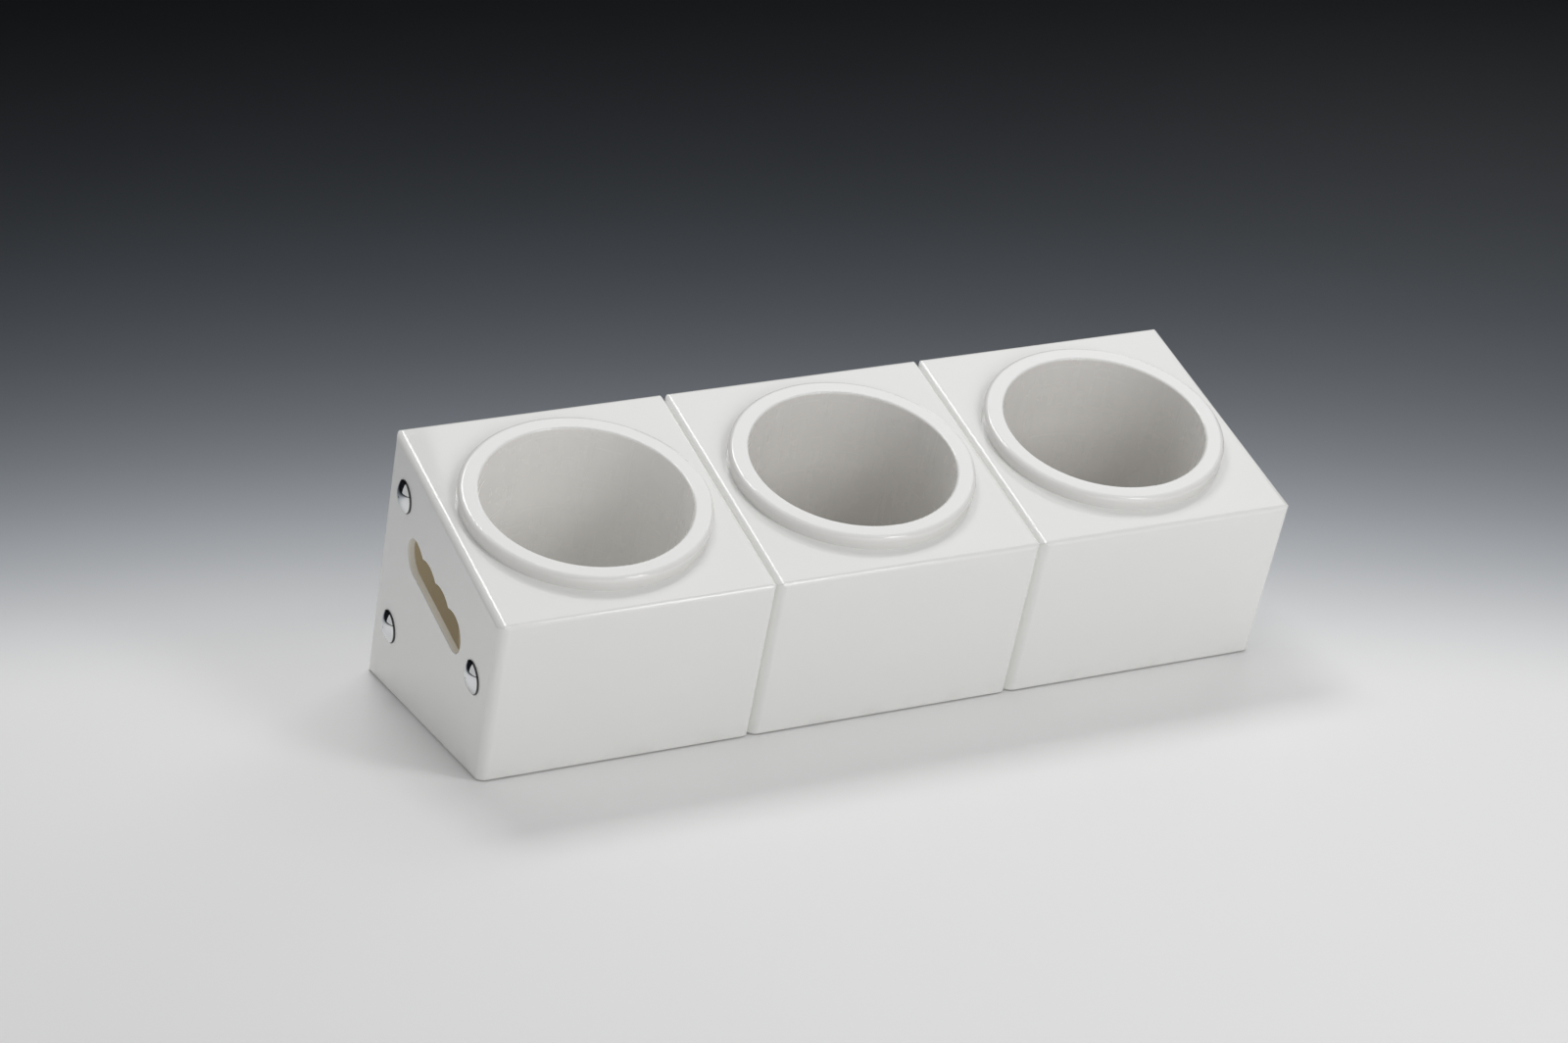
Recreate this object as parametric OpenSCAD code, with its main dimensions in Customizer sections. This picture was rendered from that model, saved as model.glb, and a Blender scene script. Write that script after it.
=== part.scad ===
// Countertop cutlery stand: three hollow housings bolted side by side, each
// leaning forward and holding one flanged beaker that lifts out.
// +Z is up and the front faces -Y. The origin lies on the resting surface,
// under the middle of the stand.

/* [Housing] */
// Width of one housing along the row
housing_w = 165; // [155:1:190]
// Depth from the front face to the back face, square to both
housing_d = 177; // [168:1:200]
// Height of the front face, measured along its lean
front_h = 112; // [105:1:135]
// Forward lean of the housing in degrees, which is also the slope of its top
lean = 21; // [15:1:25]
// Wall thickness
wall = 4; // [3:0.5:5]
// Rounding of the upright edges
upright_round = 5.5; // [4.5:0.5:8]
// Rounding of the top edges at the two sides
side_round = 4; // [2:0.5:6]
// Rounding of the top edges at the front and back
front_round = 2.5; // [1.5:0.5:5]

/* [Beaker] */
// Inner radius at the mouth
mouth_r = 61; // [54:0.5:62]
// Inner radius at the floor
base_r = 57; // [48:0.5:60]
// Wall thickness of the beaker
beaker_wall = 3; // [2:0.5:3.5]
// Depth of the underside of the beaker below the sloped top
beaker_depth = 116; // [90:1:119]
// Outer radius of the rim
rim_r = 72.5; // [71.5:0.5:76]
// Height of the rim above the sloped top
rim_h = 8; // [6:0.5:12]
// Rounding of the rim's outer edge
rim_round = 3; // [1:0.5:4]
// Rounding of the mouth's edge
mouth_round = 1.2; // [0.6:0.2:2]
// Rounding inside at the floor
floor_round = 8; // [5:0.5:12]
// Clearance between the beaker and the round hole that it hangs in
beaker_gap = 1; // [0.5:0.25:2]

/* [Grip slot] */
// Distance between the middles of neighbouring finger scallops
finger_pitch = 21.5; // [19:0.5:24]
// Radius of each scallop
finger_r = 19; // [15:0.5:26]
// Height of the slot
slot_h = 24; // [20:0.5:28]
// Rounding of the teeth between the scallops
tooth_round = 1.6; // [1.2:0.2:3]
// Distance of the slot's middle from the front face
slot_from_front = 93; // [88:0.5:98]
// Depth of the slot's middle line below the sloped top
slot_depth = 54; // [46:0.5:62]

/* [Fasteners] */
// Distance of the bolts from the front or back face
bolt_inset = 27; // [22:0.5:32]
// Depth of the front bolts below the sloped top
front_bolt_depth = 58; // [50:0.5:70]
// Depth of the upper back bolts below the sloped top
upper_bolt_depth = 28; // [24:0.5:36]
// Depth of the lower back bolts below the sloped top
lower_bolt_depth = 125.5; // [105:0.5:135]
// Radius of the bolt shanks
bolt_r = 3; // [2:0.5:4]
// Radius of the domed heads on the end faces
dome_r = 10; // [8:0.5:12]
// Height of the domed heads
dome_h = 4.2; // [2.5:0.1:5]
// Height of the straight edge under each dome
dome_edge = 0.6; // [0.2:0.2:1.2]
// Radius of the pan heads inside the row
pan_r = 6; // [5.5:0.5:8]
// Height of the pan heads
pan_h = 3.8; // [3:0.2:5]
// Rounding of the pan heads
pan_round = 2; // [0.5:0.5:2.5]
// Distance across the flats of the sockets in the pan heads
socket_flats = 4; // [3:0.5:5]
// Depth of the sockets
socket_h = 2; // [1:0.5:2.5]
// Radius of the washers
washer_r = 7; // [6.5:0.5:9]
// Thickness of the washers
washer_t = 1.6; // [1:0.2:2.4]
// Distance across the flats of the nuts
nut_flats = 10; // [10:0.5:13]
// Thickness of the nuts
nut_t = 5; // [4:0.5:6.5]
// Length of shank that stands out of each nut
bolt_tail = 2; // [1:0.5:4]
// Clearance between a shank and the hole in a wall or washer
hole_gap = 0.25; // [0.15:0.05:0.5]
// Clearance between a shank and the bore of its nut
thread_gap = 0.05; // [0.02:0.01:0.1]

/* [Feet] */
// Radius of the rubber feet
foot_r = 8; // [6:0.5:9]
// Rounding of the feet's lower edge
foot_round = 1; // [0.5:0.5:2]
// Height of the walls above the surface
foot_stand = 1; // [0.5:0.25:3]
// Height of the foot that is hidden inside the walls
foot_recess = 3; // [2:0.5:5]
// Distance of the feet from the side walls' outer faces
foot_side_inset = 16; // [15:0.5:20]
// Distance of the feet from the foot edges of the front and back walls
foot_end_inset = 18; // [17:0.5:22]
// Thickness of the corner webs that carry the feet
web_t = 4; // [3:0.5:6]
// Radius of the corner webs round each foot
web_r = 12; // [11:0.5:14]
// Radius of the feet's stems
stem_r = 2.5; // [2:0.25:3.5]
// Clearance between a stem and the hole in its web
stem_gap = 0.1; // [0.05:0.05:0.3]
// Width that each stem's barb adds all round above the web
barb_w = 1; // [0.5:0.25:2]
// Height of the barb
barb_h = 2.5; // [2:0.5:4]

/* [Hidden] */

$fn = 96;
left = -1;
middle = 0;
right = 1;
// How far a cut runs past the face that it cuts through
past = 1;
inner_round = 1;
hexagon = 6;

// The side profile, with the front wall's foot at y = 0
top_front_y = -front_h * sin(lean);
top_front_z = foot_stand + front_h * cos(lean);
foot_d = housing_d / cos(lean);
// The rounded front edge reaches a little less far forward than a sharp one
front_reach = top_front_y + front_round * (cos(lean) + sin(lean) - 1);
middle_y = (front_reach + foot_d) / 2;
tall = front_h + housing_d;

beaker_y = housing_d / 2;
hole_r = mouth_r + beaker_wall + beaker_gap;

slot_r = slot_h / 2;
slot_arm = 1.5 * finger_pitch;
scallop_v = slot_r - finger_r;
// A tooth's circle cuts a little into the scallops' circles, so it meets them
// at a slight corner
tooth_corner = 12;
tooth_span = sqrt(finger_r ^ 2 + tooth_round ^ 2 + 2 * finger_r * tooth_round * cos(tooth_corner));
tooth_turn = asin(finger_pitch / 2 / tooth_span);
tooth_v = scallop_v + tooth_span * cos(tooth_turn);
// The corner of a tooth's void lies where its circle and a scallop's overlap
tooth_half = (tooth_span - finger_r + tooth_round) / 2 * sin(tooth_turn);
tooth_foot_v = tooth_v - (tooth_span - finger_r + tooth_round) / 2 * cos(tooth_turn);
teeth = [-1:1];
scallops = [-1.5:1.5];

// Places of the bolts on a side wall, along the slope and down from it
back_bolt_y = housing_d - bolt_inset;
bolt_places = [
    [bolt_inset, -front_bolt_depth],
    [back_bolt_y, -upper_bolt_depth],
    [back_bolt_y, -lower_bolt_depth]
];
end_x = 1.5 * housing_w;
joint_x = 0.5 * housing_w;
nut_seat = wall + washer_t;
shank_end = nut_seat + nut_t + bolt_tail;
dome_cap_h = dome_h - dome_edge;
dome_ball_r = (dome_r ^ 2 + dome_cap_h ^ 2) / (2 * dome_cap_h);

// Places of the feet, with the turn that faces each web to its corner
foot_x = housing_w / 2 - foot_side_inset;
foot_places = [
    [foot_x, foot_d - foot_end_inset, 0],
    [-foot_x, foot_d - foot_end_inset, 90],
    [-foot_x, foot_end_inset, 180],
    [foot_x, foot_end_inset, 270]
];
foot_h = foot_stand + foot_recess;
web_top = foot_h + web_t;
web_reach = foot_side_inset + foot_end_inset;

// Places a drawing on the sloped top: x along the row, y up the slope from the
// top's front edge, and z square out of it
module on_slope() {
    translate([0, top_front_y - middle_y, top_front_z])
        rotate([lean, 0, 0])
            children();
}

// Stands a drawing against a side wall: its x lies along the slope, its y up
// the wall, and its z out of the wall's outer face
module on_wall() {
    rotate([90, 0, 90])
        children();
}

// Leaves a drawing of the right side as it is, or mirrors it to the left
module on_side(side) {
    if (side == left)
        mirror([1, 0, 0])
            children();
    else
        children();
}

module at_bolts() {
    for (place = bolt_places)
        translate([place[0], place[1], 0])
            children();
}

// Places a drawing at each bolt of the side wall whose outer face is at x
module at_wall_bolts(side, x) {
    on_side(side)
        on_slope()
            translate([x, 0, 0])
                on_wall()
                    at_bolts()
                        children();
}

module at_feet() {
    for (place = foot_places)
        translate([place[0], place[1] - middle_y, 0])
            rotate([0, 0, place[2]])
                children();
}

// A rectangle with rounded corners
module soft_rect(x0, y0, x1, y1, r) {
    translate([x0 + r, y0])
        square([x1 - x0 - 2 * r, y1 - y0]);
    translate([x0, y0 + r])
        square([x1 - x0, y1 - y0 - 2 * r]);
    for (x = [x0 + r, x1 - r], y = [y0 + r, y1 - r])
        translate([x, y])
            circle(r);
}

// Half the section of a disc with a rounded upper edge
module disc_section(r, h, edge) {
    square([r - edge, h]);
    square([r, h - edge]);
    intersection() {
        translate([r - edge, h - edge])
            circle(edge);
        square([r, h]);
    }
}

// The housing's form on its slope, drawn in from the outer faces by inset
module housing_block(inset) {
    half = housing_w / 2 - inset;
    back = housing_d - inset;
    intersection() {
        translate([0, 0, -tall])
            linear_extrude(tall + past)
                soft_rect(-half, inset, half, back, max(upright_round - inset, inner_round));
        translate([0, housing_d + past, 0])
            rotate([90, 0, 0])
                linear_extrude(housing_d + 2 * past)
                    soft_rect(-half, -tall, half, -inset, max(side_round - inset, inner_round));
        translate([-housing_w / 2 - past, 0, 0])
            on_wall()
                linear_extrude(housing_w + 2 * past)
                    soft_rect(inset, -tall, back, -inset, max(front_round - inset, inner_round));
    }
}

// The void round one tooth, whose tip is a little of a circle
module tooth_gap() {
    difference() {
        translate([-tooth_half, 0])
            square([2 * tooth_half, tooth_foot_v]);
        translate([0, tooth_v])
            circle(tooth_round);
    }
}

// The outline of the grip slot, about the slot's middle
module slot_outline() {
    for (end = [-1, 1])
        translate([end * slot_arm, 0])
            circle(slot_r);
    translate([-slot_arm, -slot_r])
        square([2 * slot_arm, slot_r]);
    for (at = scallops)
        translate([at * finger_pitch, 0])
            intersection() {
                translate([0, scallop_v])
                    circle(finger_r);
                translate([at < -1 ? 0 : -finger_pitch / 2, -past])
                    square([abs(at) > 1 ? finger_pitch / 2 : finger_pitch, slot_h]);
            }
    for (at = teeth)
        translate([at * finger_pitch, 0])
            tooth_gap();
}

// The grip slot and the bolt holes of the right wall
module side_wall_cuts() {
    translate([housing_w / 2, 0, 0])
        on_wall() {
            translate([slot_from_front, -slot_depth, -wall - past])
                linear_extrude(wall + 2 * past)
                    slot_outline();
            at_bolts()
                translate([0, 0, -wall - past])
                    cylinder(h = wall + 2 * past, r = bolt_r + hole_gap);
        }
}

// The ledge that a foot plugs into, with its corner of the housing towards
// +x and +y
module corner_web() {
    translate([0, 0, foot_h])
        linear_extrude(web_t) {
            circle(web_r);
            translate([-web_r, 0])
                square([web_r + web_reach, web_reach]);
            translate([0, -web_r])
                square([web_reach, web_r + web_reach]);
        }
}

module housing(place) {
    color("white")
        translate([place * housing_w, 0, 0])
            difference() {
                union() {
                    difference() {
                        on_slope()
                            housing_block(0);
                        on_slope()
                            housing_block(wall);
                    }
                    intersection() {
                        on_slope()
                            housing_block(0);
                        at_feet()
                            corner_web();
                    }
                }
                translate([-housing_w, -2 * housing_d, foot_stand - tall])
                    cube([2 * housing_w, 4 * housing_d, tall]);
                at_feet()
                    cylinder(h = web_top + past, r = stem_r + stem_gap);
                on_slope() {
                    translate([0, beaker_y, -wall - past])
                        cylinder(h = wall + 2 * past, r = hole_r);
                    for (side = [left, right])
                        on_side(side)
                            side_wall_cuts();
                }
            }
}

// Half the section of a cup that widens upwards from low_r to high_r, with a
// rounded corner at its floor
module cup_section(low, low_r, high, high_r, corner) {
    slant = atan((high_r - low_r) / (high - low));
    corner_x = low_r + corner * (tan(slant) - 1 / cos(slant));
    translate([corner_x, low + corner])
        circle(corner);
    polygon([
        [0, low],
        [corner_x, low],
        [corner_x + corner * cos(slant), low + corner * (1 - sin(slant))],
        [high_r, high],
        [0, high]
    ]);
}

// Half the section of the rim: a top plate, and a skirt that rests on the slope
module rim_section() {
    difference() {
        disc_section(rim_r, rim_h, rim_round);
        translate([0, -past])
            square([rim_r - beaker_wall, rim_h - beaker_wall + past]);
    }
}

module beaker_section() {
    low = -beaker_depth;
    difference() {
        union() {
            cup_section(low, base_r + beaker_wall, rim_h, mouth_r + beaker_wall,
                floor_round + beaker_wall);
            rim_section();
        }
        cup_section(low + beaker_wall, base_r, rim_h, mouth_r, floor_round);
        difference() {
            translate([0, rim_h - mouth_round])
                square([mouth_r + mouth_round, mouth_round + past]);
            translate([mouth_r + mouth_round, rim_h - mouth_round])
                circle(mouth_round);
        }
    }
}

module beaker(place) {
    color("whitesmoke")
        on_slope()
            translate([place * housing_w, beaker_y, 0])
                rotate_extrude()
                    beaker_section();
}

module feet(place) {
    color("dimgray")
        translate([place * housing_w, 0, 0])
            at_feet() {
                rotate_extrude()
                    translate([0, foot_h])
                        mirror([0, 1])
                            disc_section(foot_r, foot_h, foot_round);
                cylinder(h = web_top + barb_h, r = stem_r);
                translate([0, 0, web_top])
                    cylinder(h = barb_h, r1 = stem_r + barb_w, r2 = stem_r);
            }
}

// A washer that starts at the surface below it
module washer() {
    difference() {
        cylinder(h = washer_t, r = washer_r);
        translate([0, 0, -past])
            cylinder(h = washer_t + 2 * past, r = bolt_r + hole_gap);
    }
}

module nut() {
    difference() {
        cylinder(h = nut_t, r = nut_flats / 2 / cos(30), $fn = hexagon);
        translate([0, 0, -past])
            cylinder(h = nut_t + 2 * past, r = bolt_r + thread_gap);
    }
}

// A domed head on the outer face, with its shank running inwards
module dome_bolt() {
    rotate_extrude()
        intersection() {
            translate([0, dome_h - dome_ball_r])
                circle(dome_ball_r);
            square([dome_r, dome_h]);
        }
    translate([0, 0, -shank_end])
        cylinder(h = shank_end, r = bolt_r);
}

// A socket pan head inside the middle housing, with its shank through two walls
module pan_bolt() {
    translate([0, 0, -nut_seat]) {
        cylinder(h = nut_seat + shank_end, r = bolt_r);
        mirror([0, 0, 1])
            difference() {
                rotate_extrude()
                    disc_section(pan_r, pan_h, pan_round);
                translate([0, 0, pan_h - socket_h])
                    cylinder(h = socket_h + past, r = socket_flats / 2 / cos(30), $fn = hexagon);
            }
    }
}

module end_bolts(side) {
    color("silver")
        at_wall_bolts(side, end_x)
            dome_bolt();
}

module end_washers(side) {
    color("darkgray")
        at_wall_bolts(side, end_x)
            translate([0, 0, -nut_seat])
                washer();
}

module end_nuts(side) {
    color("darkgray")
        at_wall_bolts(side, end_x)
            translate([0, 0, -nut_seat - nut_t])
                nut();
}

module joining_bolts(side) {
    color("darkgray")
        at_wall_bolts(side, joint_x)
            pan_bolt();
}

module joining_washers(side) {
    color("darkgray")
        at_wall_bolts(side, joint_x)
            for (z = [-nut_seat, wall])
                translate([0, 0, z])
                    washer();
}

module joining_nuts(side) {
    color("darkgray")
        at_wall_bolts(side, joint_x)
            translate([0, 0, nut_seat])
                nut();
}

housing(left);  // housing_left
housing(middle);  // housing_middle
housing(right);  // housing_right
beaker(left);  // beaker_left
beaker(middle);  // beaker_middle
beaker(right);  // beaker_right
feet(left);  // feet_left
feet(middle);  // feet_middle
feet(right);  // feet_right
end_bolts(left);  // end_bolts_left
end_bolts(right);  // end_bolts_right
end_washers(left);  // end_washers_left
end_washers(right);  // end_washers_right
end_nuts(left);  // end_nuts_left
end_nuts(right);  // end_nuts_right
joining_bolts(left);  // joining_bolts_left
joining_bolts(right);  // joining_bolts_right
joining_washers(left);  // joining_washers_left
joining_washers(right);  // joining_washers_right
joining_nuts(left);  // joining_nuts_left
joining_nuts(right);  // joining_nuts_right
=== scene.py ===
import bpy
from math import cos, pi, radians, sin
from mathutils import Matrix, Vector


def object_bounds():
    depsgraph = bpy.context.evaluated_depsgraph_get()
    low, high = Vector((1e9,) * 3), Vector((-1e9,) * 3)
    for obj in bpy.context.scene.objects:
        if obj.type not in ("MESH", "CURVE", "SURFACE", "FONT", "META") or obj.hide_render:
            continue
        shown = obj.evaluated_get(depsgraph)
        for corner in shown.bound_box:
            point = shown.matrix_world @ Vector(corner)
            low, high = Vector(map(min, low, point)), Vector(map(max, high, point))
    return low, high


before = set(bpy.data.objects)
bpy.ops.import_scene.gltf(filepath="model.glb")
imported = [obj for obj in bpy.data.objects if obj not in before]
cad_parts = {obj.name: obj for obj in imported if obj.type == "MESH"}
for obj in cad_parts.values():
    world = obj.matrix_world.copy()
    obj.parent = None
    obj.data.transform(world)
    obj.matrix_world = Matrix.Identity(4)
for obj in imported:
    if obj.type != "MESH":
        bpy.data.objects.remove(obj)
cadLow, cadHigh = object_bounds()

# the stand's own sizes, in metres; above the slope is plus, and under it is minus
form = {
    "lean": 21,                 # degrees, slope of the tops
    "pitch": 0.165,             # width of one housing
    "depth": 0.177,             # of a top, along its slope
    "frontHeight": 0.112,       # along a front wall
    "frontRound": 0.0025,
    "footStand": 0.001,         # from the worktop up to the walls
    "wall": 0.004,
    "slotMiddle": (0.093, -0.054),      # along the slope, then above it
    "slotHalf": (0.047, 0.0132),        # the same ways, with its scallops
    "headMiddles": ((0.027, -0.058), (0.150, -0.028), (0.150, -0.1255)),   # the same ways
    "shankInset": 0.001,        # how far under the end faces the shanks begin
}
columns = {"left": -1, "middle": 0, "right": 1}
leanSin, leanCos = sin(radians(form["lean"])), cos(radians(form["lean"]))
topFrontY = cadLow[1] - form["frontRound"] * (leanSin + leanCos - 1)
topFrontZ = form["footStand"] + form["frontHeight"] * leanCos


class Wire:  # a socket that takes part in sums
    def __init__(self, finish, socket):
        self.finish, self.socket = finish, socket

    def __add__(self, other):
        return self.finish.maths("ADD", self, other)

    def __sub__(self, other):
        return self.finish.maths("SUBTRACT", self, other)

    def __rsub__(self, other):
        return self.finish.maths("SUBTRACT", other, self)

    def __mul__(self, other):
        return self.finish.maths("MULTIPLY", self, other)

    def __truediv__(self, other):
        return self.finish.maths("DIVIDE", self, other)

    def __rtruediv__(self, other):
        return self.finish.maths("DIVIDE", other, self)

    def __pow__(self, other):
        return self.finish.maths("POWER", self, other)

    def __gt__(self, other):
        return self.finish.maths("GREATER_THAN", self, other)

    def __lt__(self, other):
        return self.finish.maths("LESS_THAN", self, other)

    def __abs__(self):
        return self.finish.maths("ABSOLUTE", self)

    __radd__, __rmul__ = __add__, __mul__


class Finish:  # the nodes of one material, or of the room
    def __init__(self, owner):
        self.owner = owner
        owner.use_nodes = True
        self.tree = owner.node_tree
        self.tree.nodes.clear()

    def node(self, kind, settings=None, inputs=None, output=0):
        made = self.tree.nodes.new("ShaderNode" + kind)
        for key, value in (settings or {}).items():
            if key == "stops":
                self.setStops(made.color_ramp, value)
            else:
                setattr(made, key, value)
        for key, value in (inputs or {}).items():
            if isinstance(value, Wire):
                self.tree.links.new(value.socket, made.inputs[key])
            else:
                made.inputs[key].default_value = value
        return Wire(self, made.outputs[output]) if made.outputs else None

    def setStops(self, ramp, stops):  # each stop is a place and a grey tone
        while len(ramp.elements) < len(stops):
            ramp.elements.new(0.5)
        for element, (place, tone) in zip(ramp.elements, stops):
            element.position, element.color = place, (tone, tone, tone, 1)

    def maths(self, operation, first, second=0.0):
        return self.node("Math", {"operation": operation}, {0: first, 1: second})

    def mix(self, factor, first, second):
        return self.node("Mix", {"data_type": "RGBA"}, {0: factor, 6: first, 7: second}, 2)

    def ramp(self, value, stops):
        return self.node("ValToRGB", {"stops": stops}, {0: value})

    def place(self):  # the surface's own place, in metres
        return self.node("TexCoord", output="Object")

    def split(self, vector):
        apart = self.node("SeparateXYZ", inputs={0: vector})
        return [Wire(self, socket) for socket in apart.socket.node.outputs]

    def join(self, x, y, z):
        return self.node("CombineXYZ", inputs={0: x, 1: y, 2: z})

    def noise(self, vector, scale, detail=2.0, roughness=0.5):
        return self.node("TexNoise", inputs={"Vector": vector, "Scale": scale,
                                             "Detail": detail, "Roughness": roughness})

    def bump(self, height, depth, strength=1.0, normal=None):
        links = {"Height": height, "Distance": depth, "Strength": strength}
        if normal:
            links["Normal"] = normal
        return self.node("Bump", inputs=links)

    def shade(self, **values):  # the shader and the output
        names = {"color": "Base Color", "roughness": "Roughness", "metallic": "Metallic",
                 "normal": "Normal", "ior": "IOR", "specular": "Specular IOR Level",
                 "glow": "Emission Color", "glowStrength": "Emission Strength"}
        shader = self.node("BsdfPrincipled",
                           inputs={names[key]: value for key, value in values.items()})
        self.node("OutputMaterial", inputs={"Surface": shader})
        return self.owner


def newFinish(name):
    return Finish(bpy.data.materials.new(name))


def color(value):
    return (*value, 1)


def slopeLines(finish, column):
    # x from the column's middle, then along the slope, then above it, then the height
    x, y, z = finish.split(finish.place())
    across = x - columns[column] * form["pitch"]
    awayY, awayZ = y - topFrontY, z - topFrontZ
    along = awayY * leanCos + awayZ * leanSin
    above = awayZ * leanCos - awayY * leanSin
    return across, along, above, z


def dress(names, material):
    for name in names:
        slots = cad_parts[name].data.materials
        slots.clear()
        slots.append(material)


# housings: glossy white moulding, warmer inside where the slots show it
housingLook = {
    "white": (0.80, 0.80, 0.785),
    "inside": (0.88, 0.835, 0.75),
    "slotEdge": (0.76, 0.74, 0.69),
    "grime": (0.52, 0.51, 0.48),
    "insideGlow": (0.050, 0.043, 0.030),    # light that the thin walls let through
    "jointGlow": (0.055, 0.055, 0.052),
    "jointGlowWidth": 0.003,
    "jointGlowEnd": 0.006,      # from the back edge, which has none
    "slotGlow": (0.090, 0.086, 0.078),
    "slotGlowStops": ((0.15, 1), (0.45, 0.5), (1, 0.6)),    # through the wall, inwards
    "slotLip": 0.0005,          # of the wall's thickness, still the outer face
    "skin": 0.0001,             # so that the inner faces count as inside
    "patternShift": 3.1,        # gives each housing marks of its own
    "cloudScale": 9,
    "cloudGrime": 0.05,
    "smudgeScale": 38,
    "smudgeStops": ((0.47, 0), (0.74, 1)),
    "hairPull": (12, 3, 420, 420),      # x by across, x by along, y, z
    "hairStops": ((0.68, 0), (0.72, 1)),
    "crossPull": (380, -60, 14, 300),
    "crossStops": ((0.70, 0), (0.74, 1)),
    "footStops": ((0.001, 1), (0.012, 0)),  # heights between which the foot's grime fades
    "footGrime": 0.3,
    "gloss": 0.045,
    "smudgeRough": 0.04,
    "scratchRough": 0.06,
    "footRough": 0.12,
    "insideRough": 0.35,
    "softEdge": 0.0010,         # how far the moulding rounds its sharp edges
    "sinkScale": 22,            # slow waves left by the mould
    "sinkDepth": 0.00006,
    "sinkStrength": 0.6,
    "peelScale": 420,           # fine texture
    "peelDepth": 0.000004,
    "scratchDepth": 0.00002,
    "scratchStrength": 0.5,
}


def pulledNoise(finish, across, along, above, pull):
    x = across * pull[0] + along * pull[1]
    return finish.noise(finish.join(x, along * pull[2], above * pull[3]), 1, detail=3)


def housingGlow(finish, column, across, along, inside, slotEdge):
    look = housingLook
    half = form["pitch"] / 2
    glow = finish.mix(inside, color((0, 0, 0)), color(look["insideGlow"]))
    fromJoint = abs(abs(across + columns[column] * form["pitch"]) - half)
    nearJoint = finish.ramp(fromJoint / look["jointGlowWidth"], ((0, 1), (1, 0)))
    nearJoint = nearJoint * (1 - inside) * (along < form["depth"] - look["jointGlowEnd"])
    glow = finish.mix(nearJoint, glow, color(look["jointGlow"]))
    inward = finish.ramp((half - abs(across)) / form["wall"], look["slotGlowStops"])
    return finish.mix(slotEdge * inward, glow, color(look["slotGlow"]))


def housingFinish(column):
    look = housingLook
    finish = newFinish("housing_white_" + column)
    across, along, above, height = slopeLines(finish, column)
    half, inner = form["pitch"] / 2, form["wall"] - look["skin"]
    inside = ((abs(across) < half - inner) * (along > inner)
              * (along < form["depth"] - inner) * (above < -inner))
    slotEdge = ((abs(across) < half - look["slotLip"])
                * (abs(along - form["slotMiddle"][0]) < form["slotHalf"][0])
                * (abs(above - form["slotMiddle"][1]) < form["slotHalf"][1])
                * (1 - inside))
    shifted = finish.join(across + columns[column] * look["patternShift"], along, above)
    cloud = finish.noise(shifted, look["cloudScale"], detail=3)
    smudge = finish.ramp(finish.noise(shifted, look["smudgeScale"], detail=5, roughness=0.62),
                         look["smudgeStops"])
    hair = pulledNoise(finish, across, along, above, look["hairPull"])
    crossHair = pulledNoise(finish, across, along, above, look["crossPull"])
    scratch = (finish.ramp(hair, look["hairStops"])
               + finish.ramp(crossHair, look["crossStops"]))
    foot = finish.ramp(height, look["footStops"]) * smudge
    tone = finish.mix(cloud * look["cloudGrime"], color(look["white"]), color(look["grime"]))
    tone = finish.mix(foot * look["footGrime"], tone, color(look["grime"]))
    tone = finish.mix(slotEdge, tone, color(look["slotEdge"]))
    tone = finish.mix(inside, tone, color(look["inside"]))
    rough = (look["gloss"] + smudge * look["smudgeRough"] + scratch * look["scratchRough"]
             + foot * look["footRough"] + inside * look["insideRough"])
    soft = finish.node("Bevel", {"samples": 6}, {"Radius": look["softEdge"]})
    sink = finish.noise(shifted, look["sinkScale"], detail=1)
    peel = finish.noise(shifted, look["peelScale"])
    normal = finish.bump(sink, look["sinkDepth"], look["sinkStrength"], soft)
    normal = finish.bump(peel, look["peelDepth"], normal=normal)
    normal = finish.bump(1 - scratch, look["scratchDepth"], look["scratchStrength"], normal)
    glow = housingGlow(finish, column, across, along, inside, slotEdge)
    return finish.shade(color=tone, roughness=rough, normal=normal, ior=1.49, glow=glow,
                        glowStrength=1.0)


for column in columns:
    dress(["housing_" + column], housingFinish(column))
print("housings: white moulding")

# beakers: white lip with painted shade on its side, satin bowl in painted shade, with faint
# draw marks down its wall
beakerLook = {
    "white": (0.83, 0.83, 0.82),
    # painted shade: the bowl is coloured darker and warmer than the lip
    "bowl": (0.777, 0.762, 0.737),
    # painted shade: the rim's outer side is coloured darker than the lip
    "rimShade": (0.77, 0.76, 0.745),
    "skirt": (0.83, 0.815, 0.78),
    "mark": (0.60, 0.59, 0.57),
    "skirtGlow": (0.050, 0.043, 0.030),     # light that the thin walls let through
    "bowlGlow": {"left": (0.040, 0.041, 0.041), "middle": (0, 0, 0), "right": (0, 0, 0)},
    "lipHeight": 0.008,         # above the slope
    "floor": -0.113,
    "mouth": 0.061,             # radii inside, at the lip and at the floor
    "base": 0.057,
    "rimSideFrom": 0.070,       # radii between which the painted shade on the rim's side sets in
    "rimSideTo": 0.072,
    "skin": 0.001,              # margins that tell the bowl, the skirt and the lip apart
    "skirtSkin": 0.0015,
    "slopeSkin": 0.0001,
    "lipSkin": 0.0006,
    "patternShift": 2.3,        # gives each beaker marks of its own
    "streakPull": (150, 9),     # round the wall, and down it
    "streakShift": 40,
    "streakStops": ((0.46, 0), (0.72, 1)),
    "ringPull": (18, 260),
    "ringStops": ((0.62, 0), (0.70, 1)),
    "smudgeScale": 45,
    "smudgeStops": ((0.48, 0), (0.75, 1)),
    "cloudScale": 12,
    "cloudMark": 0.04,
    "streakMark": 0.1,
    "ringMark": 0.08,
    "lipGloss": 0.06,
    "bowlGloss": 0.24,
    "smudgeRough": 0.07,
    "streakRough": 0.06,
    "ringRough": 0.1,
    "skirtRough": 0.2,
    "peelScale": 400,           # fine texture
    "peelDepth": 0.000004,
    "markDepth": 0.00002,
    "markStrength": 0.5,
    "streakCut": 0.6,           # depth of a streak beside that of a ring
}


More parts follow.
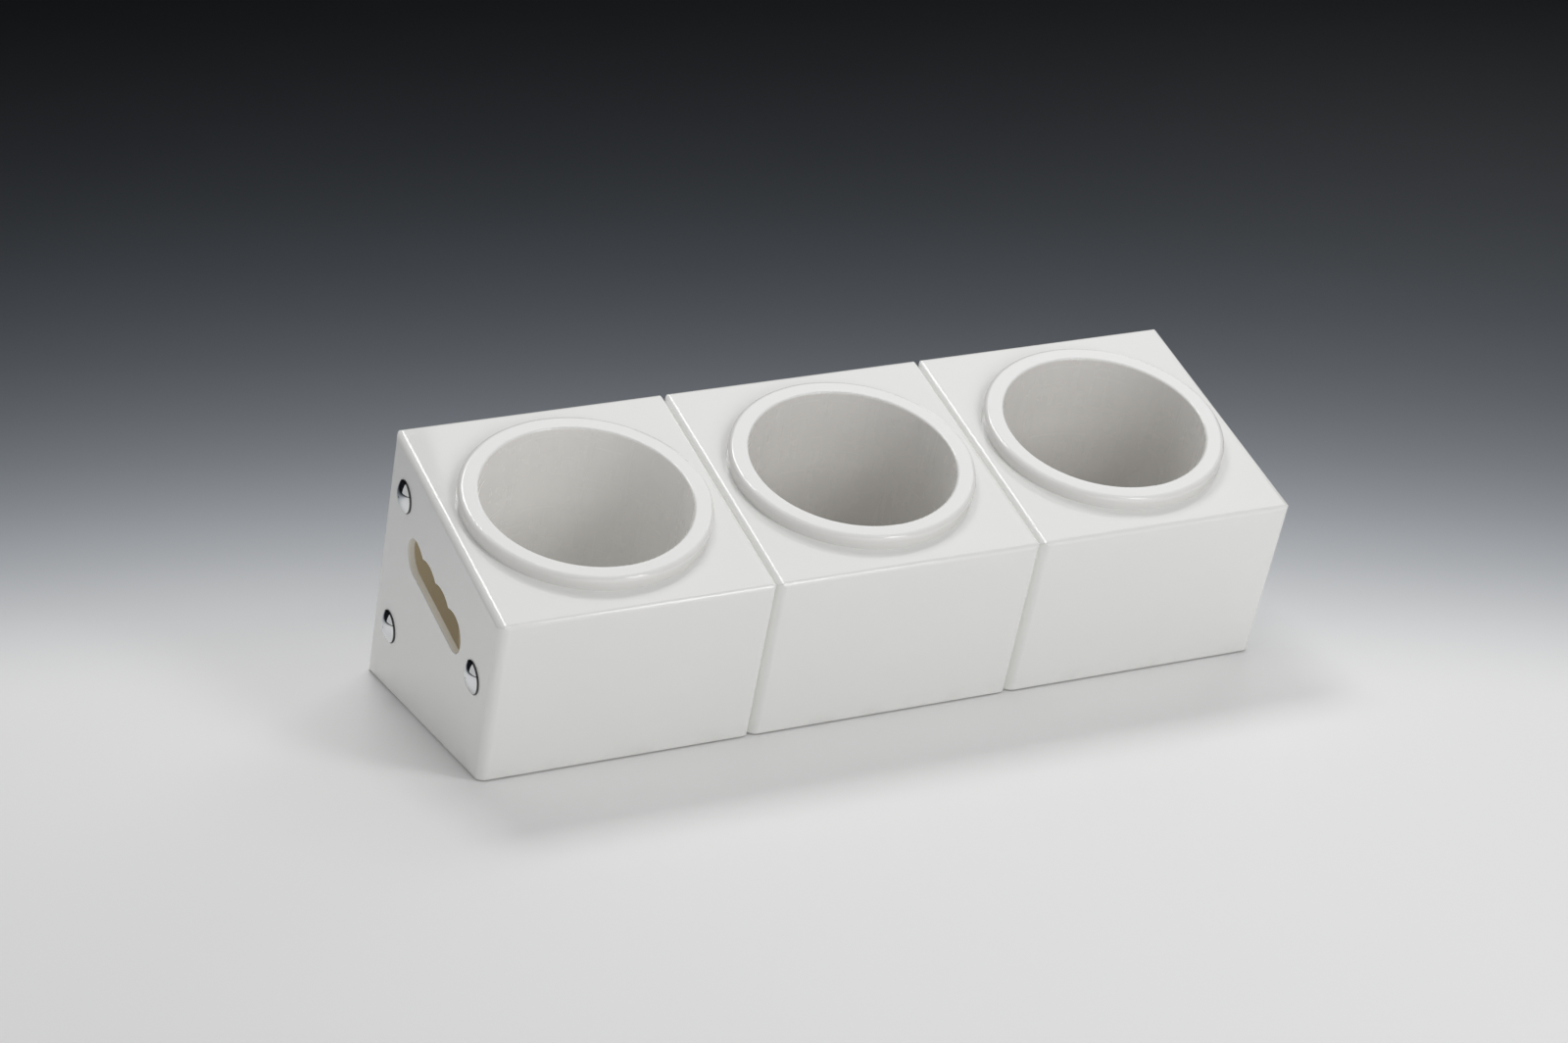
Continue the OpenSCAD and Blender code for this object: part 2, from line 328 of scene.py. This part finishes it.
def beakerFinish(column):
    look = beakerLook
    finish = newFinish("beaker_white_" + column)
    across, along, above, _ = slopeLines(finish, column)
    fore = along - form["depth"] / 2
    out = (across * across + fore * fore) ** 0.5
    widen = (look["mouth"] - look["base"]) / (look["lipHeight"] - look["floor"])
    wallAt = (above - look["floor"]) * widen + look["base"]
    under = above < look["floor"] - look["skin"]
    bowl = ((out < wallAt + look["skin"]) * (above < look["lipHeight"] - look["lipSkin"])
            * (1 - under))
    skirt = finish.maths("MAXIMUM", under, (out > wallAt + look["skirtSkin"])
                         * (above < -look["slopeSkin"]))
    # painted shade on the rim's outer side, fading in between the two radii
    rimFade = look["rimSideTo"] - look["rimSideFrom"]
    rimShade = finish.ramp((out - look["rimSideFrom"]) / rimFade, ((0, 0), (1, 1)))
    spot = finish.join(across + columns[column] * look["patternShift"], fore, above)
    around, down = look["streakPull"]
    drawn = finish.join(across * around + columns[column] * look["streakShift"],
                        fore * around, above * down)
    streak = finish.ramp(finish.noise(drawn, 1, detail=4, roughness=0.6),
                         look["streakStops"]) * bowl
    around, down = look["ringPull"]
    rubbed = finish.join(across * around, fore * around, above * down)
    ring = finish.ramp(finish.noise(rubbed, 1, detail=3), look["ringStops"]) * bowl
    smudge = finish.ramp(finish.noise(spot, look["smudgeScale"], detail=5, roughness=0.6),
                         look["smudgeStops"])
    cloud = finish.noise(spot, look["cloudScale"], detail=3)
    tone = finish.mix(rimShade, color(look["white"]), color(look["rimShade"]))
    # painted shade inside the beaker: the bowl darker and warmer than the lip
    tone = finish.mix(bowl, tone, color(look["bowl"]))
    tone = finish.mix(streak * look["streakMark"] + ring * look["ringMark"], tone,
                      color(look["mark"]))
    tone = finish.mix(skirt, tone, color(look["skirt"]))
    tone = finish.mix(cloud * look["cloudMark"], tone, color(look["mark"]))
    rough = (look["lipGloss"] + bowl * (look["bowlGloss"] - look["lipGloss"])
             + smudge * look["smudgeRough"] + streak * look["streakRough"]
             + ring * look["ringRough"] + skirt * look["skirtRough"])
    normal = finish.bump(finish.noise(spot, look["peelScale"]), look["peelDepth"])
    normal = finish.bump(1 - streak * look["streakCut"] - ring, look["markDepth"],
                         look["markStrength"], normal)
    glow = finish.mix(skirt, color((0, 0, 0)), color(look["skirtGlow"]))
    glow = finish.mix(bowl, glow, color(look["bowlGlow"][column]))
    return finish.shade(color=tone, roughness=rough, normal=normal, ior=1.49, glow=glow,
                        glowStrength=1.0)


for column in columns:
    dress(["beaker_" + column], beakerFinish(column))
print("beakers: white lip and satin bowl")

# domed bolts: bright chrome with fingerprints and hairlines, threaded shanks
chromeLook = {
    "metal": (0.80, 0.81, 0.82),
    "haze": (0.62, 0.63, 0.65),
    "headShadow": (0.10, 0.10, 0.10),     # painted shadow, a dark line round a head where it meets the wall
    "headShadowFrom": 0.0094,
    "headShadowTo": 0.0105,
    "smearScale": 160,
    "smearStops": ((0.50, 0), (0.78, 1)),
    "smearHaze": 0.3,
    "pitScale": 1500,
    "pitStops": ((0.70, 0), (0.76, 1)),
    "pitHaze": 0.5,
    "hairPull": (200, 2600, 900, 200),      # x, y by along, y by height, z
    "hairStops": ((0.66, 0), (0.70, 1)),
    "gloss": 0.05,
    "smearRough": 0.06,
    "pitRough": 0.2,
    "hairRough": 0.05,
    "shankRough": 0.15,
    "markDepth": 0.000008,
    "markStrength": 0.4,
    "hairCut": 0.4,             # depth of a hairline beside that of a pit
    "threadPitch": 0.001,
    "threadDepth": 0.0003,
}


def threadOf(finish, x, pitch):  # rises and falls along the row
    return finish.maths("SINE", x * (2 * pi / pitch)) * 0.5 + 0.5


def chromeFinish():
    look = chromeLook
    finish = newFinish("bolt_chrome")
    spot = finish.place()
    x, along, above, height = slopeLines(finish, "middle")
    halfRow = len(columns) / 2 * form["pitch"]
    shank = abs(x) < halfRow - form["shankInset"]
    # painted shadow: a dark ring round each domed head, where it meets the wall
    headShadow = 0.0
    for headAlong, headAbove in form["headMiddles"]:
        fore, up = along - headAlong, above - headAbove
        out = (fore * fore + up * up) ** 0.5
        headShadow = headShadow + (out > look["headShadowFrom"]) * (out < look["headShadowTo"])
    smear = finish.ramp(finish.noise(spot, look["smearScale"], detail=5, roughness=0.65),
                        look["smearStops"])
    pit = finish.ramp(finish.noise(spot, look["pitScale"]), look["pitStops"])
    pull = look["hairPull"]
    pulled = finish.join(x * pull[0], along * pull[1] + height * pull[2], height * pull[3])
    hair = finish.ramp(finish.noise(pulled, 1), look["hairStops"])
    tone = finish.mix(smear * look["smearHaze"] + pit * look["pitHaze"], color(look["metal"]),
                      color(look["haze"]))
    tone = finish.mix(headShadow * (1 - shank), tone, color(look["headShadow"]))
    rough = (look["gloss"] + smear * look["smearRough"] + pit * look["pitRough"]
             + hair * look["hairRough"] + shank * look["shankRough"])
    normal = finish.bump(1 - pit - hair * look["hairCut"], look["markDepth"],
                         look["markStrength"])
    thread = threadOf(finish, x, look["threadPitch"]) * shank
    normal = finish.bump(thread, look["threadDepth"], normal=normal)
    return finish.shade(color=tone, roughness=rough, normal=normal, metallic=1.0)


dress(["end_bolts_left", "end_bolts_right"], chromeFinish())
print("domed bolts: chrome")

# fasteners inside: dull zinc with spangle and a little white bloom
zincLook = {
    "light": (0.56, 0.57, 0.58),
    "dark": (0.36, 0.38, 0.40),
    "bloom": (0.62, 0.62, 0.60),
    "spangleScale": 900,
    "bloomScale": 260,
    "bloomStops": ((0.58, 0), (0.80, 1)),
    "bloomCover": 0.6,
    "brushPull": (3000, 60, 60),
    "brushDepth": 0.00003,
    "brushStrength": 0.5,
    "gloss": 0.3,
    "spangleRough": 0.14,
    "bloomRough": 0.3,
    "threadPitch": 0.001,
    "threadDepth": 0.0002,
    "threadStrength": 0.8,
}


def zincFinish(threaded):
    look = zincLook
    finish = newFinish("zinc_threaded" if threaded else "zinc_plain")
    spot = finish.place()
    x, y, z = finish.split(spot)
    cell = finish.node("TexVoronoi", inputs={"Vector": spot, "Scale": look["spangleScale"]},
                       output="Color")
    spangle = finish.split(cell)[0]
    bloom = finish.ramp(finish.noise(spot, look["bloomScale"], detail=4, roughness=0.7),
                        look["bloomStops"])
    pullX, pullY, pullZ = look["brushPull"]
    brushed = finish.noise(finish.join(x * pullX, y * pullY, z * pullZ), 1)
    tone = finish.mix(spangle, color(look["dark"]), color(look["light"]))
    tone = finish.mix(bloom * look["bloomCover"], tone, color(look["bloom"]))
    rough = look["gloss"] + spangle * look["spangleRough"] + bloom * look["bloomRough"]
    normal = finish.bump(brushed, look["brushDepth"], look["brushStrength"])
    if threaded:
        normal = finish.bump(threadOf(finish, x, look["threadPitch"]), look["threadDepth"],
                             look["threadStrength"], normal)
    return finish.shade(color=tone, roughness=rough, normal=normal,
                        metallic=1 - bloom * look["bloomCover"])


plainZinc, threadedZinc = zincFinish(False), zincFinish(True)
for side in ("left", "right"):
    dress([f"joining_bolts_{side}"], threadedZinc)
    for group in ("end_washers", "end_nuts", "joining_washers", "joining_nuts"):
        dress([f"{group}_{side}"], plainZinc)
print("inner fasteners: zinc")

# feet: dark rubber, dusty where it meets the worktop
rubberLook = {
    "rubber": (0.028, 0.028, 0.030),
    "dust": (0.20, 0.19, 0.18),
    "worn": (0.07, 0.07, 0.07),
    "patchScale": 240,
    "patchStops": ((0.45, 0), (0.70, 1)),
    "patchWorn": 0.6,
    "dustHeight": 0.01,         # counts as 1 in the stops
    "dustStops": ((0.02, 1), (0.12, 0)),
    "dustCover": 0.6,
    "rough": 0.62,
    "patchRough": 0.2,
    "dustRough": 0.1,
    "grainScale": 1800,
    "grainDepth": 0.00006,
    "grainStrength": 0.8,
}


def rubberFinish():
    look = rubberLook
    finish = newFinish("foot_rubber")
    spot = finish.place()
    height = finish.split(spot)[2]
    grain = finish.noise(spot, look["grainScale"], detail=3, roughness=0.6)
    patch = finish.ramp(finish.noise(spot, look["patchScale"], detail=4, roughness=0.65),
                        look["patchStops"])
    low = finish.ramp(height / look["dustHeight"], look["dustStops"])
    tone = finish.mix(patch * look["patchWorn"], color(look["rubber"]), color(look["worn"]))
    tone = finish.mix(low * patch * look["dustCover"], tone, color(look["dust"]))
    rough = look["rough"] + patch * look["patchRough"] + low * look["dustRough"]
    normal = finish.bump(grain, look["grainDepth"], look["grainStrength"])
    return finish.shade(color=tone, roughness=rough, normal=normal, specular=0.35)


dress(["feet_" + column for column in columns], rubberFinish())
print("feet: rubber")

# floor: a pale sweep that falls off into shade behind the stand
floorLook = {
    "pale": (0.895, 0.895, 0.895),
    "shade": (0.60, 0.71, 0.86),
    "sweepMiddle": (-0.669, -1.453),    # x and y, in metres
    "paleTo": 1.6,              # out from there
    "fall": 0.282,              # beyond that, to half the light
    "power": 2.1,
    "tintPower": 0.6,
    "rough": 0.62,
    "cloudScale": 6,
    "cloudRough": 0.1,
    "grainScale": 500,
    "grainDepth": 0.00005,
    "grainStrength": 0.3,
    "radius": 14.0,
    "sides": 96,
}


def floorFinish():
    look = floorLook
    finish = newFinish("floor_sweep")
    spot = finish.place()
    x, y, _ = finish.split(spot)
    awayX, awayY = x - look["sweepMiddle"][0], y - look["sweepMiddle"][1]
    out = (awayX * awayX + awayY * awayY) ** 0.5
    behind = finish.maths("MAXIMUM", out - look["paleTo"], 0.0) / look["fall"]
    light = 1 / (behind ** look["power"] + 1)
    tint = finish.mix(light ** look["tintPower"], color(look["shade"]), color(look["pale"]))
    tone = finish.mix(light, color((0, 0, 0)), tint)
    grain = finish.noise(spot, look["grainScale"], detail=3)
    normal = finish.bump(grain, look["grainDepth"], look["grainStrength"])
    rough = look["rough"] + finish.noise(spot, look["cloudScale"]) * look["cloudRough"]
    return finish.shade(color=tone, roughness=rough, normal=normal, specular=0.2)


def makeFloor():
    sides, radius = floorLook["sides"], floorLook["radius"]
    angles = [2 * pi * side / sides for side in range(sides)]
    points = [(radius * cos(angle), radius * sin(angle), 0) for angle in angles]
    mesh = bpy.data.meshes.new("floor")
    mesh.from_pydata(points, [], [list(range(sides))])
    mesh.materials.append(floorFinish())
    floor = bpy.data.objects.new("floor", mesh)
    bpy.context.scene.collection.objects.link(floor)


makeFloor()
print("floor: pale sweep")

# lamps: a soft box overhead with a bright strip at its left, and panels all round
lampSetup = {
    "overhead": {"place": (0.80, 0.72, 1.50), "aim": (0.80, 0.72, 0), "size": (1.05, 0.75),
                 "power": 3.9},
    "strip": {"place": (0.0, 0.66, 1.60), "aim": (0.0, 0.66, 0), "size": (0.54, 0.6),
              "power": 7.6},
    "cloud": {"place": (-0.75, 0.6, 1.80), "aim": (-0.75, 0.6, 0), "size": (0.9, 0.9),
              "power": 1.2},
    "window": {"place": (0.60, -1.42, 1.25), "aim": (0, 0, 0.08), "size": (0.36, 0.85),
               "power": 7.6},
    "front": {"place": (0.3, -2.28, 0.58), "aim": (0, 0, 0.08), "size": (2.4, 0.7),
              "power": 13.3},
    "back": {"place": (1.6, 1.4, 1.15), "aim": (0, 0, 0.08), "size": (0.9, 1.1),
             "power": 3.6},
    "left": {"place": (-1.75, 0.1, 0.55), "aim": (0, 0, 0.08), "size": (2.2, 1.0),
             "power": 3.6},
}


def makeLamp(name):
    look = lampSetup[name]
    lamp = bpy.data.lights.new(name, "AREA")
    lamp.shape = "RECTANGLE"
    lamp.size, lamp.size_y = look["size"]
    lamp.energy = look["power"]
    body = bpy.data.objects.new(name, lamp)
    ahead = Vector(look["aim"]) - Vector(look["place"])
    body.location = look["place"]
    body.rotation_euler = ahead.to_track_quat("-Z", "Y").to_euler()
    body.visible_camera = False
    bpy.context.scene.collection.objects.link(body)


for name in lampSetup:
    makeLamp(name)
print("lamps: soft box, strip, window and panels")

# room: lights the stand dimly from all sides, and is itself seen nearly black
roomLook = {
    "light": (0.30, 0.30, 0.30),
    "seen": (0.0088, 0.0093, 0.0117),
}


def makeRoom():
    room = bpy.data.worlds.new("room")
    bpy.context.scene.world = room
    finish = Finish(room)
    seen = 0.0
    for ray in ("Is Camera Ray", "Is Glossy Ray", "Is Transmission Ray"):
        seen = finish.maths("MAXIMUM", finish.node("LightPath", output=ray), seen)
    tone = finish.mix(seen, color(roomLook["light"]), color(roomLook["seen"]))
    glow = finish.node("Background", inputs={"Color": tone})
    finish.node("OutputWorld", inputs={"Surface": glow})


makeRoom()
bpy.context.scene.view_settings.view_transform = "Standard"
print("room: dim")

# camera: long lens, a little above the row and to its left
cameraSetup = {
    "place": (-0.9534, -2.0120, 0.8868),
    "heading": (0.3939, 0.8557, -0.3355),
    "roll": 0.30,               # degrees
    "lens": 92.44,
    "filmWidth": 36,
}


def makeCamera():
    look = cameraSetup
    ahead = Vector(look["heading"]).normalized()
    level = ahead.cross(Vector((0, 0, 1))).normalized()
    upright = level.cross(ahead)
    turn = radians(look["roll"])
    right = level * cos(turn) + upright * sin(turn)
    up = right.cross(ahead)
    camera = bpy.data.cameras.new("camera")
    camera.sensor_width = look["filmWidth"]
    camera.lens = look["lens"]
    body = bpy.data.objects.new("camera", camera)
    turned = Matrix((right, up, -ahead)).transposed().to_4x4()
    body.matrix_world = Matrix.Translation(look["place"]) @ turned
    bpy.context.scene.collection.objects.link(body)
    bpy.context.scene.camera = body


makeCamera()
print("camera: placed")
